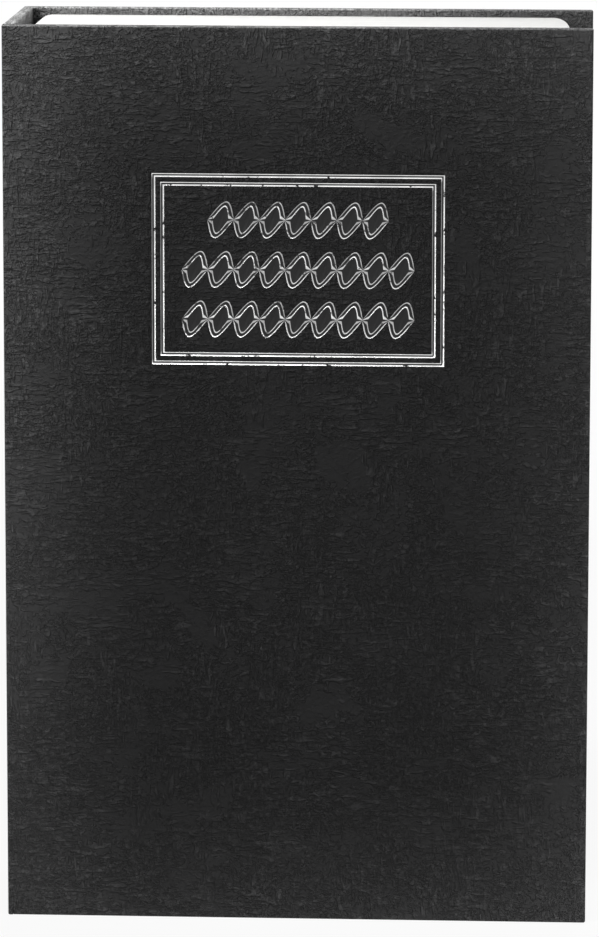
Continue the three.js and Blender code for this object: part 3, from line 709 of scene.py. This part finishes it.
def hollow(shape, low, high, axis, window, mouth, rims):
    """A board's hollow inside the leatherette, open through the window between the turn-ins.

    axis is the board's thickness, and mouth the place of the window's outer edge along it. window
    has the low and the high end of both of its directions, and rims the grid lines along them."""
    across, up = [a for a in range(3) if a != axis]
    near, far = (high[axis], low[axis]) if mouth > high[axis] else (low[axis], high[axis])

    def place(a, b, depth):
        point = [0.0, 0.0, 0.0]
        point[across], point[up], point[axis] = a, b, depth
        return point

    lows, highs = zip(*window)
    a_run = [a for a in rims[0] if lows[0] - 1e-6 <= a <= highs[0] + 1e-6]
    b_run = [b for b in rims[1] if lows[1] - 1e-6 <= b <= highs[1] + 1e-6]
    sides = [
        [(a, lows[1]) for a in a_run],
        [(highs[0], b) for b in b_run],
        [(a, highs[1]) for a in a_run[::-1]],
        [(lows[0], b) for b in b_run[::-1]],
    ]
    corners = [
        (low[across], low[up]),
        (high[across], low[up]),
        (high[across], high[up]),
        (low[across], high[up]),
    ]
    for i, side in enumerate(sides):
        shape.grid(np.array([[place(a, b, depth) for a, b in side] for depth in (mouth, near)]))
        start, end = corners[i], corners[(i + 1) % 4]
        ring = [place(*start, near), place(*end, near), *(place(a, b, near) for a, b in side[::-1])]
        shape.add(ring, [list(range(len(ring)))])
        wall = [place(*start, near), place(*end, near), place(*end, far), place(*start, far)]
        shape.add(wall, [[0, 1, 2, 3]])
    shape.add([place(*c, far) for c in corners], [[0, 1, 2, 3]])


def head_painted_light_mark(points):
    """How much painted light a place has at the head: most on the head edge, less just inside it."""
    x, y, z = points.T
    on_spine = (x < SPINE_INNER + 0.1) & (y > COVER_HIGH[1]) & (y < BACK_LOW[1] + 0.1)
    spine = SPINE_HEAD_PAINTED_LIGHT_SHARE * smoothstep(*TURN_REACH, x - COVER_LOW[0]) * on_spine
    # Painted shade: the painted light fades out into a dark crease where the spine's inner face meets
    # the back cover.
    spine *= smoothstep(0.2, PAINTED_CREASE_SHADE_REACH, BACK_LOW[1] - y)
    on_back = y > BACK_LOW[1] - 0.1
    back = BACK_HEAD_PAINTED_LIGHT_SHARE * smoothstep(*TURN_REACH, BACK_HIGH[1] - y) * on_back
    back *= smoothstep(0.1, PAINTED_CREASE_SHADE_REACH, x - SPINE_INNER)
    inner = np.maximum(spine, back) * smoothstep(*(HEAD - reach for reach in HEAD_PAINTED_LIGHT_REACH), z)
    # Painted light falls off towards the fore-edge, and on the front cover's head edge only its front
    # part is lit.
    from_spine = (x - COVER_LOW[0]) / (COVER_HIGH[0] - COVER_LOW[0])
    behind = 1 - HEAD_PAINTED_LIGHT_FALL * smoothstep(*HEAD_PAINTED_LIGHT_FALL_REACH, from_spine)
    front = FRONT_HEAD_PAINTED_LIGHT_SHARE * (1 - smoothstep(0.5, 1.2, y - FACE))
    share = np.where(y > COVER_HIGH[1] + 0.1, behind, front)
    inner *= behind
    return np.maximum(smoothstep(HEAD - RIM_ROUND, HEAD - 0.1, z) * share, inner)


def edge_mark(points, low, high):
    """1 at the edges of a board's box, fading to 0 away from them."""
    gaps = np.sort(np.minimum(points - low, high - points), axis=1)
    return 1 - smoothstep(*EDGE_WEAR_REACH, gaps[:, 1])


def painted_edge_light_mark(points, low, high):
    """How much painted edge light a place has, by how near the edges of its own face are."""
    from_low, from_high = points - low, high - points
    gap = np.minimum(from_low, from_high)
    share = np.where(from_low < from_high, PAINTED_EDGE_LIGHT_LOW, PAINTED_EDGE_LIGHT_HIGH)
    mark = share * (1 - np.clip(gap / PAINTED_EDGE_LIGHT_REACH, 0, 1)) ** 2
    mark[np.arange(len(mark)), gap.argmin(axis=1)] = 0
    return mark.sum(axis=1)


COVER_WAVES = [(Waves(11), 46.0, 1.0), (Waves(12), 19.0, 0.45), (Waves(13), 8.0, 0.2)]


def waviness(u, v, low, high):
    """How far a covered board's face dips, with none at its edges."""
    dip = sum(share * waves.at(u / size + 20, v / size + 20) for waves, size, share in COVER_WAVES)
    inside = np.minimum.reduce([u - low[0], high[0] - u, v - low[1], high[1] - v])
    return WAVE_DEPTH * dip * smoothstep(1.5, 9, inside)


def front_cover_skin():
    """The front cover's leatherette, pressed in under the foil and turned in round the board."""
    inner = COVER_HIGH[1]
    right = COVER_HIGH[0]
    seam = COVER_LOW[0] + STRIP_REACH
    bed = FACE + SHEET
    r = EDGE_ROUND
    window_x = (HINGE_SIDE + TURN_IN, right - TURN_IN)
    window_z = (TAIL + TURN_IN, HEAD - TURN_IN)
    face_x = lines(seam, right - r, COVER_STEP, [*title_lines(0), *frame_edges(0)])
    inner_x = lines(HINGE_SIDE + r, right - r, INNER_STEP, window_x)
    heights = lines(TAIL, HEAD, COVER_STEP, [*title_lines(2), *frame_edges(2), *window_z])
    outline = [
        *((x, FACE) for x in face_x[:-1]),
        *arc(right - r, FACE + r, r, -90, 0),
        *arc(right - r, inner - r, r, 0, 90),
        *((x, inner) for x in inner_x[-2:0:-1]),
        *arc(HINGE_SIDE + r, inner - r, r, 90, 180),
        (HINGE_SIDE, bed),
        (seam, bed),
    ]

    def in_window(p):
        flat = abs(p[1] - inner) < 1e-6
        return flat and window_x[0] < p[0] < window_x[1] and window_z[0] < p[2] < window_z[1]

    shape = Shape()
    run_up(shape, outline, heights, in_window)
    board_low, board_high = box_of("front_cover_board")
    hollow(shape, board_low, board_high, 1, (window_x, window_z), inner, (inner_x, heights))
    points, faces = shape.welded()
    on_face = points[:, 1] < FACE + 1e-4
    x, z = points[:, 0], points[:, 2]
    dip = pressed(x, z) + waviness(x, z, (COVER_LOW[0], TAIL), (right, HEAD))
    # These marks carry painted light: on and below the head edge, towards each face's edges, and on the
    # inner faces.
    marks = {
        "head": head_painted_light_mark(points),
        "edge": edge_mark(points, COVER_LOW, COVER_HIGH),
        "lightening": painted_edge_light_mark(points, COVER_LOW, COVER_HIGH),
        "turned_in": smoothstep(FACE + 0.9, inner - 0.3, points[:, 1]),
    }
    points[on_face, 1] += dip[on_face]
    skin = make_object("front_cover_skin", points, faces, [LEATHERETTE], marks=marks)
    settle(skin, "front_cover", "leatherette", "front_cover_leatherette")


def case_skin():
    """The back cover's and the spine's leatherette, which is one sheet round the back edge."""
    left, right, back = BACK_LOW[0], BACK_HIGH[0], BACK_HIGH[1]
    inner = BACK_LOW[1]
    spine_front = BLOCK_LOW[1]
    r = EDGE_ROUND
    back_window = (left + TURN_IN, right - TURN_IN)
    spine_window = (spine_front + TURN_IN, box_of("spine_board")[1][1] - TURN_IN)
    window_z = (TAIL + TURN_IN, HEAD - TURN_IN)
    heights = lines(TAIL, HEAD, PLAIN_STEP, window_z)
    spine_y = lines(spine_front, back - r, PLAIN_STEP)
    back_x = lines(left + r, right - r, PLAIN_STEP)
    inner_x = lines(SPINE_INNER, right - r, INNER_STEP, back_window)
    inner_y = lines(spine_front + r, inner, INNER_STEP, spine_window)
    outline = [
        *((left, y) for y in spine_y[:-1]),
        *arc(left + r, back - r, r, 180, 90),
        *((x, back) for x in back_x[1:-1]),
        *arc(right - r, back - r, r, 90, 0),
        *arc(right - r, inner + r, r, 0, -90),
        *((x, inner) for x in inner_x[-2:0:-1]),
        *((SPINE_INNER, y) for y in inner_y[:0:-1]),
        *arc(SPINE_INNER - r, spine_front + r, r, 0, -90),
    ][::-1]

    def in_window(p):
        if not window_z[0] < p[2] < window_z[1]:
            return False
        on_back = abs(p[1] - inner) < 1e-6 and back_window[0] < p[0] < back_window[1]
        on_spine = abs(p[0] - SPINE_INNER) < 1e-6 and spine_window[0] < p[1] < spine_window[1]
        return on_back or on_spine

    shape = Shape()
    run_up(shape, outline, heights, in_window)
    board_low, board_high = box_of("back_cover_board")
    board_low[0] = SPINE_INNER + SHEET
    hollow(shape, board_low, board_high, 1, (back_window, window_z), inner, (inner_x, heights))
    board_low, board_high = box_of("spine_board")
    board_high[1] = inner - SHEET
    window = (spine_window, window_z)
    hollow(shape, board_low, board_high, 0, window, SPINE_INNER, (inner_y, heights))
    points, faces = shape.welded()
    on_back = points[:, 1] > back - 1e-4
    on_spine = points[:, 0] < left + 1e-4
    x, y, z = points.T
    box_low = np.array([left, FACE, TAIL])
    box_high = np.array([right, back, HEAD])
    # These marks carry painted light: on and below the head edge, towards each face's edges, and on the
    # inner faces.
    marks = {
        "head": head_painted_light_mark(points),
        "edge": edge_mark(points, box_low, box_high),
        "lightening": painted_edge_light_mark(points, box_low, box_high),
        "turned_in": smoothstep(*TURN_REACH, np.minimum(back - y, x - left)),
    }
    dip = waviness(x, z, (left, TAIL), (right, HEAD))
    points[on_back, 1] -= dip[on_back]
    dip = waviness(y, z, (FACE, TAIL), (back, HEAD))
    points[on_spine, 0] += dip[on_spine]
    skin = make_object("case_skin", points, faces, [LEATHERETTE], marks=marks)
    settle(skin, "case", "leatherette", "spine_leatherette", "back_cover_leatherette")


def joint_strip():
    """The leatherette that runs from the spine round the front corner."""
    left, spine_front = COVER_LOW[0], BLOCK_LOW[1]
    seam = left + STRIP_REACH
    r = EDGE_ROUND
    gap = 0.01
    outer = [
        *((left, y) for y in lines(FACE + r, spine_front - gap, 0.6)[::-1]),
        *arc(left + r, FACE + r, r, 180, 270, 6)[1:-1],
        *((x, FACE) for x in lines(left + r, seam - gap, 0.35)),
    ]
    small = r - SHEET
    inner = [
        *((x, FACE + SHEET - gap) for x in lines(left + r, seam - gap, 0.35)[::-1]),
        *arc(left + r, FACE + r, small + gap, 270, 180, 6)[1:-1],
        *((left + SHEET - gap, y) for y in lines(FACE + r, spine_front - gap, 0.6)),
    ]
    shape = Shape()
    share = [0.6 * SHEET / RIM_ROUND] * len(outer) + [0.0] * len(inner)
    run_up(shape, [*outer, *inner], lines(TAIL, HEAD, 3.0), share=share)
    points, faces = shape.welded()
    box_high = np.array([COVER_HIGH[0], BACK_HIGH[1], HEAD])
    # These marks carry painted light: on and below the head edge, towards each face's edges, and on the
    # inner faces.
    marks = {
        "head": head_painted_light_mark(points),
        "edge": edge_mark(points, COVER_LOW, box_high),
        "lightening": painted_edge_light_mark(points, COVER_LOW, box_high),
        "turned_in": np.zeros(len(points)),
    }
    strip = make_object("cover_joint_strip", points, faces, [LEATHERETTE], marks=marks)
    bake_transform(strip)


# Foil


def foil_profile(outer_rim, inner_rim):
    """(place across the line, rise, rim, 1 for its inner half) over a foil line, outer edge first."""
    slope, line = FOIL_RIM_SLOPE, FOIL_LINE
    high, flat = FOIL_RIM_RISE, FOIL_FLAT_RISE
    return [
        (0, 0, 1, 0),
        (0.05, high, 1, 0),
        (outer_rim, high, 1, 0),
        (outer_rim + slope, flat, 0, 0),
        (line - inner_rim - slope, flat, 0, 1),
        (line - inner_rim, high, 1, 1),
        (line - 0.05, high, 1, 1),
        (line, 0, 1, 1),
        (0, 0, 1, 0),
    ]


def foil_frame(node):
    """A frame line stamped in foil: two raised rims with mitred corners, painted bright or dim by the
    side the light is taken to come from, round a flat painted dark.
    """
    low, high = box_of(node)
    bed = FACE + FOIL_BED
    across = lines(low[0], high[0], FOIL_STEP)
    up = lines(low[2], high[2], FOIL_STEP)
    # The loop round the frame as a share along each side, so that every ring has mitred corners.
    loop = [
        *((s, 0.0) for s in np.linspace(0, 1, len(across))[:-1]),
        *((1.0, s) for s in np.linspace(0, 1, len(up))[:-1]),
        *((s, 1.0) for s in np.linspace(1, 0, len(across))[:-1]),
        *((0.0, s) for s in np.linspace(1, 0, len(up))[:-1]),
    ]
    # Painted highlight: the right and lower rim of every line is painted bright as if light from the
    # top left caught it, and wear breaks those.
    top_left = foil_profile(FOIL_RIM_SHADED, FOIL_RIM_LIT)
    bottom_right = foil_profile(FOIL_RIM_LIT, FOIL_RIM_SHADED)
    rings, rim, worn = [], [], []
    for (near, rise, rim_here, inner), (far, *_) in zip(top_left, bottom_right):
        width = high[0] - low[0] - near - far
        height = high[2] - low[2] - near - far
        left, bottom = low[0] + near, low[2] + far
        rings.append([(left + s * width, bed - rise, bottom + t * height) for s, t in loop])
        for s, t in loop:
            lit = inner if t == 1 or s == 0 else 1 - inner
            painted_highlight = UPRIGHT_RIM_PAINTED_HIGHLIGHT if 0 < t < 1 else LYING_RIM_PAINTED_HIGHLIGHT
            rim.append(rim_here * painted_highlight[lit])
            worn.append(lit)
    shape = Shape()
    shape.grid(np.array(rings), closed=True)
    # The last ring is the first one again, so its faces use the first one's points.
    keep = len(loop) * (len(rings) - 1)
    faces = [[i % keep for i in face] for face in shape.faces]
    points = np.vstack(shape.points)[:keep]
    marks = {"rim": rim[:keep], "worn": worn[:keep]}
    foil = make_object(node + "_stamped", points, faces, [FOIL], marks=marks)
    settle(foil, "front_cover", "silver_foil", node)


def foil_band(band):
    """A leaf chain with outlines and veins painted bright round flats painted dark, dimmer where they
    face away from the light.
    """
    bed = FACE + FOIL_BED
    steps = band.count * LEAF_SAMPLES
    along = np.linspace(-band.half, band.half, steps + 1)
    reach = band.reach(along)
    steep = band.steepness(along)
    # Painted shade: the outlines are painted dimmer where they run steeply.
    painted_highlight = LEAF_STEEP_PAINTED_SHADE + (1 - LEAF_STEEP_PAINTED_SHADE) / steep
    # From the outline inwards: distance, most share of the reach, rise, rim.
    layers = [
        (0.0, 0.0, 0.0, 1),
        (0.04, 0.1, FOIL_RIM_RISE, 1),
        (LEAF_RIM, 0.3, FOIL_RIM_RISE, 1),
        (LEAF_RIM + FOIL_RIM_SLOPE, 0.36, FOIL_FLAT_RISE, 0),
        (LEAF_RIBBON - FOIL_RIM_SLOPE, 0.62, FOIL_FLAT_RISE, 0),
        (LEAF_RIBBON, 0.68, FOIL_RIM_RISE, 1),
        (LEAF_RIBBON + LEAF_RIM, 0.86, FOIL_RIM_RISE, 1),
        (LEAF_RIBBON + LEAF_RIM + FOIL_RIM_SLOPE, 0.92, FOIL_FLAT_RISE, 0),
    ]
    upper, lower = [], []
    for away, most, rise, rim in layers:
        drop = np.minimum(away * steep, most * reach)
        outer = away < LEAF_RIBBON / 2
        # Painted shade: the lines that face away from the light are painted dimmer.
        upper.append((reach - drop, rise, painted_highlight * rim * (LEAF_AWAY_PAINTED_SHADE if outer else 1)))
        lower.append((drop - reach, rise, painted_highlight * rim * (1 if outer else LEAF_AWAY_PAINTED_SHADE)))
    rows = [*upper, *lower[::-1], (-reach * 0.999, 0.0, painted_highlight), (reach * 0.999, 0.0, painted_highlight)]
    rings, marks = [], []
    for rise_up, rise, rim in rows:
        x = band.middle_x + along + LEAF_SLANT * rise_up
        rings.append(np.stack([x, np.full_like(x, bed - rise), band.middle_z + rise_up], axis=1))
        marks.append(rim)
    count = len(along)
    shape = Shape()
    shape.grid(np.array(rings))
    faces = list(shape.faces)
    last = (len(rows) - 1) * count
    for i in range(count - 1):
        faces.append([last + i, last + i + 1, i + 1, i])
    for end in (0, count - 1):
        faces.append([r * count + end for r in range(len(rows))])
    points = np.vstack(shape.points)
    marks = {"rim": np.concatenate(marks), "worn": np.full(len(points), 0.75)}
    foil = make_object(band.node + "_stamped", points, faces, [FOIL], marks=marks)
    settle(foil, "front_cover", "silver_foil", band.node)


# Page block


def page_depth(y):
    """(depth, line) of the moulded page lines at a place through the block's thickness."""
    page = (y - BLOCK_LOW[1]) / PAGE_PITCH
    count = np.floor(page)
    dip = np.abs((page - count) - 0.5) * 2
    groove = smoothstep(0.45, 0.95, dip)
    deep = np.where((count + np.floor(page - count + 0.5)) % SIGNATURE_PAGES < 0.5, 1.0, 0.0)
    depth = groove * (PAGE_GROOVE + deep * (SIGNATURE_GROOVE - PAGE_GROOVE))
    return depth, groove * (0.55 + 0.45 * deep)


def page_block():
    """A moulded block with page lines round three sides and the pocket for the steel box."""
    left, front, low = BLOCK_LOW
    right, back, high = BLOCK_HIGH
    pages = int((back - front) / PAGE_PITCH)
    quarter = PAGE_PITCH / 4
    ys = np.array([front + quarter * i for i in range(pages * 4)] + [back])
    ys = np.array(sorted({*np.round(ys, 5), round(front + 0.3, 5), round(back - 0.05, 5)}))
    depth, line = page_depth(ys)
    depth[0] = depth[-1] = 0

    def rounded(share):
        return 1 - np.sqrt(np.clip(1 - np.clip(share, 0, 1) ** 2, 0, 1))

    x_low = left + SPINE_ROUND * rounded(1 - (back - ys) / SPINE_ROUND_DEPTH)
    x_high = right - FORE_ROUND * rounded(1 - (back - ys) / FORE_ROUND_DEPTH)
    x_high -= FRONT_ROUND * rounded((front + FRONT_ROUND - ys) / FRONT_ROUND)
    corner_steps = 4  # of each rounded corner
    shape = Shape()
    rings = []
    r = PAGE_CORNER
    for y, x_first, x_last, sunk in zip(ys, x_low, x_high, depth):
        ring = []
        for x, z, start in (
            (x_last - sunk - r, low + sunk + r, -90),
            (x_last - sunk - r, high - sunk - r, 0),
            (x_first + r, high - sunk - r, 90),
            (x_first + r, low + sunk + r, 180),
        ):
            ring += [(px, y, pz) for px, pz in arc(x, z, r, start, start + 90, corner_steps)]
        rings.append(ring)
    rings = np.array(rings)
    shape.grid(rings, closed=True)
    count = rings.shape[1]
    first, last = STEEL_LOW - POCKET_GAP, STEEL_HIGH + POCKET_GAP
    pocket = [(last[0], first[2]), (last[0], last[2]), (first[0], last[2]), (first[0], first[2])]
    middle = corner_steps // 2
    for ring, y in ((rings[0], front), (rings[-1], back)):
        for side in range(4):
            start = side * (corner_steps + 1) + middle
            run = [ring[(start + i) % count] for i in range(corner_steps + 2)]
            a, b = pocket[side], pocket[(side + 1) % 4]
            face = [*run, (b[0], y, b[1]), (a[0], y, a[1])]
            shape.add(face, [list(range(len(face)))])
    walls = np.array([[(x, y, z) for x, z in pocket] for y in (front, back)])
    shape.grid(walls, closed=True)
    points, faces = shape.welded()
    _, line_here = page_depth(points[:, 1])
    outside = (points < STEEL_LOW - 2) | (points > STEEL_HIGH + 2)
    on_skin = outside[:, 0] | outside[:, 2]
    ends = (points[:, 1] < front + 1e-3) | (points[:, 1] > back - 1e-3)
    marks = {"line": np.where(on_skin & ~ends, line_here, 0.0)}
    block = make_object("page_block", points, faces, [PAGES], sharp=60, marks=marks)
    settle(block, "case", "page_plastic", "page_block_frame")


# CAD nodes that keep their shape


def dress(node, material, edge):
    """Gives a CAD node its finish, with a small round on its sharp edges."""
    obj = frame["nodes"][node]
    obj.data.materials.clear()
    obj.data.materials.append(material)
    if edge:
        weld = obj.modifiers.new("weld", "WELD")
        weld.merge_threshold = 1e-6
        bevel = obj.modifiers.new("edge", "BEVEL")
        bevel.width = edge * MM
        bevel.segments = 2
        bevel.limit_method = "ANGLE"
        bevel.angle_limit = math.radians(40)
        bevel.use_clamp_overlap = True


FINISH = {
    "greyboard": (BOARD, 0.0),
    "black_paper": (PAPER, 0.0),
    "black_steel": (STEEL, STEEL_EDGE),
    "zinc_steel": (ZINC, LOCK_EDGE),
    "lock_chrome": (CHROME, LOCK_EDGE),
}


def dress_nodes():
    """Gives each CAD node that stays its finish, by its material slot."""
    for part in frame["record"]["subparts"]:
        finish = FINISH.get(part["material_slot"])
        if finish:
            dress(part["node"], *finish)


# Stage


def stage_floor():
    """A pale floor that the camera and mirrors see almost white, with the object's shadow on it."""
    size = 6.0
    mesh = bpy.data.meshes.new("floor")
    corners = [(-size, -size, 0), (size, -size, 0), (size, size, 0), (-size, size, 0)]
    mesh.from_pydata(corners, [], [(0, 1, 2, 3)])
    floor = bpy.data.objects.new("floor", mesh)
    bpy.context.scene.collection.objects.link(floor)
    n = Nodes("floor")
    n.set(Base_Color=(0.9, 0.9, 0.9, 1), Roughness=0.9, Specular_IOR_Level=0.1)
    away = n.node("ShaderNodeVectorMath", operation="LENGTH")
    n.plug(away.inputs[0], n.seat)
    share = n.step(away.outputs["Value"], *FLOOR_FADE, *FLOOR_WHITE)
    mesh.materials.append(shown_white(n, n.shader.outputs[0], share))


def seen_directly(n):
    """1 for what the camera, a mirror or glass sees, and 0 for what lights the object."""
    path = n.node("ShaderNodeLightPath")
    seen = n.math("MAXIMUM", path.outputs["Is Camera Ray"], path.outputs["Is Glossy Ray"])
    return n.math("MAXIMUM", seen, path.outputs["Is Transmission Ray"])


def shown_white(n, surface, share):
    """The floor's surface with a share of plain white for what looks at it directly."""
    white = n.node("ShaderNodeEmission")
    white.inputs["Color"].default_value = (1, 1, 1, 1)
    mix = n.node("ShaderNodeMixShader")
    n.plug(mix.inputs[0], n.math("MULTIPLY", seen_directly(n), share))
    n.plug(mix.inputs[1], surface)
    n.plug(mix.inputs[2], white.outputs[0])
    out = n.tree.nodes["Material Output"]
    n.plug(out.inputs["Surface"], mix.outputs[0])
    return n.material


def studio_world():
    """A dim world for light, and a white one for what looks at it directly."""
    world = bpy.data.worlds.new("studio")
    bpy.context.scene.world = world
    world.use_nodes = True
    world.node_tree.nodes.clear()
    n = Tree(world.node_tree)
    light, white = n.node("ShaderNodeBackground"), n.node("ShaderNodeBackground")
    light.inputs["Color"].default_value = WORLD_TONE
    light.inputs["Strength"].default_value = WORLD_LIGHT
    white.inputs["Color"].default_value = (1, 1, 1, 1)
    mix = n.node("ShaderNodeMixShader")
    n.plug(mix.inputs[0], seen_directly(n))
    n.plug(mix.inputs[1], light.outputs[0])
    n.plug(mix.inputs[2], white.outputs[0])
    out = n.node("ShaderNodeOutputWorld")
    n.plug(out.inputs["Surface"], mix.outputs[0])


def lamps():
    for name, (place, aim, size, power) in PANELS.items():
        data = bpy.data.lights.new(name, "AREA")
        data.shape = "SQUARE"
        data.size = size
        hang(name, data, place, aim, power)
    for name, (place, aim, cone, power) in SPOTS.items():
        data = bpy.data.lights.new(name, "SPOT")
        data.spot_size = math.radians(cone)
        data.spot_blend = 1.0
        data.shadow_soft_size = SPOT_SIZE
        hang(name, data, place, aim, power)


def hang(name, data, place, aim, power):
    """Puts a lamp at its place, turned towards its aim."""
    data.energy = power
    lamp = bpy.data.objects.new(name, data)
    lamp.location = place
    lamp.rotation_euler = (Vector(aim) - Vector(place)).to_track_quat("-Z", "Y").to_euler()
    bpy.context.scene.collection.objects.link(lamp)


def camera():
    data = bpy.data.cameras.new("camera")
    data.sensor_width = SENSOR
    data.lens = CAMERA_LENS
    data.shift_x, data.shift_y = CAMERA_SHIFT
    data.clip_start, data.clip_end = 0.05, 50
    cam = bpy.data.objects.new("camera", data)
    turn = Matrix.Rotation(math.radians(CAMERA_YAW), 4, "Z")
    tilt = Matrix.Rotation(math.radians(90 - CAMERA_PITCH), 4, "X")
    roll = Matrix.Rotation(math.radians(CAMERA_ROLL), 4, "Z")
    cam.matrix_world = Matrix.Translation(Vector(CAMERA_AT) * MM) @ turn @ tilt @ roll
    bpy.context.scene.collection.objects.link(cam)
    bpy.context.scene.camera = cam


camera()
studio_world()
stage_floor()
lamps()

front_cover_skin()
case_skin()
joint_strip()
for frame_node in ("front_foil_outer_frame", "front_foil_inner_frame"):
    foil_frame(frame_node)
for leaf_band in BANDS:
    foil_band(leaf_band)
page_block()
dress_nodes()

bpy.context.scene.view_settings.view_transform = "Standard"
bpy.context.view_layer.update()
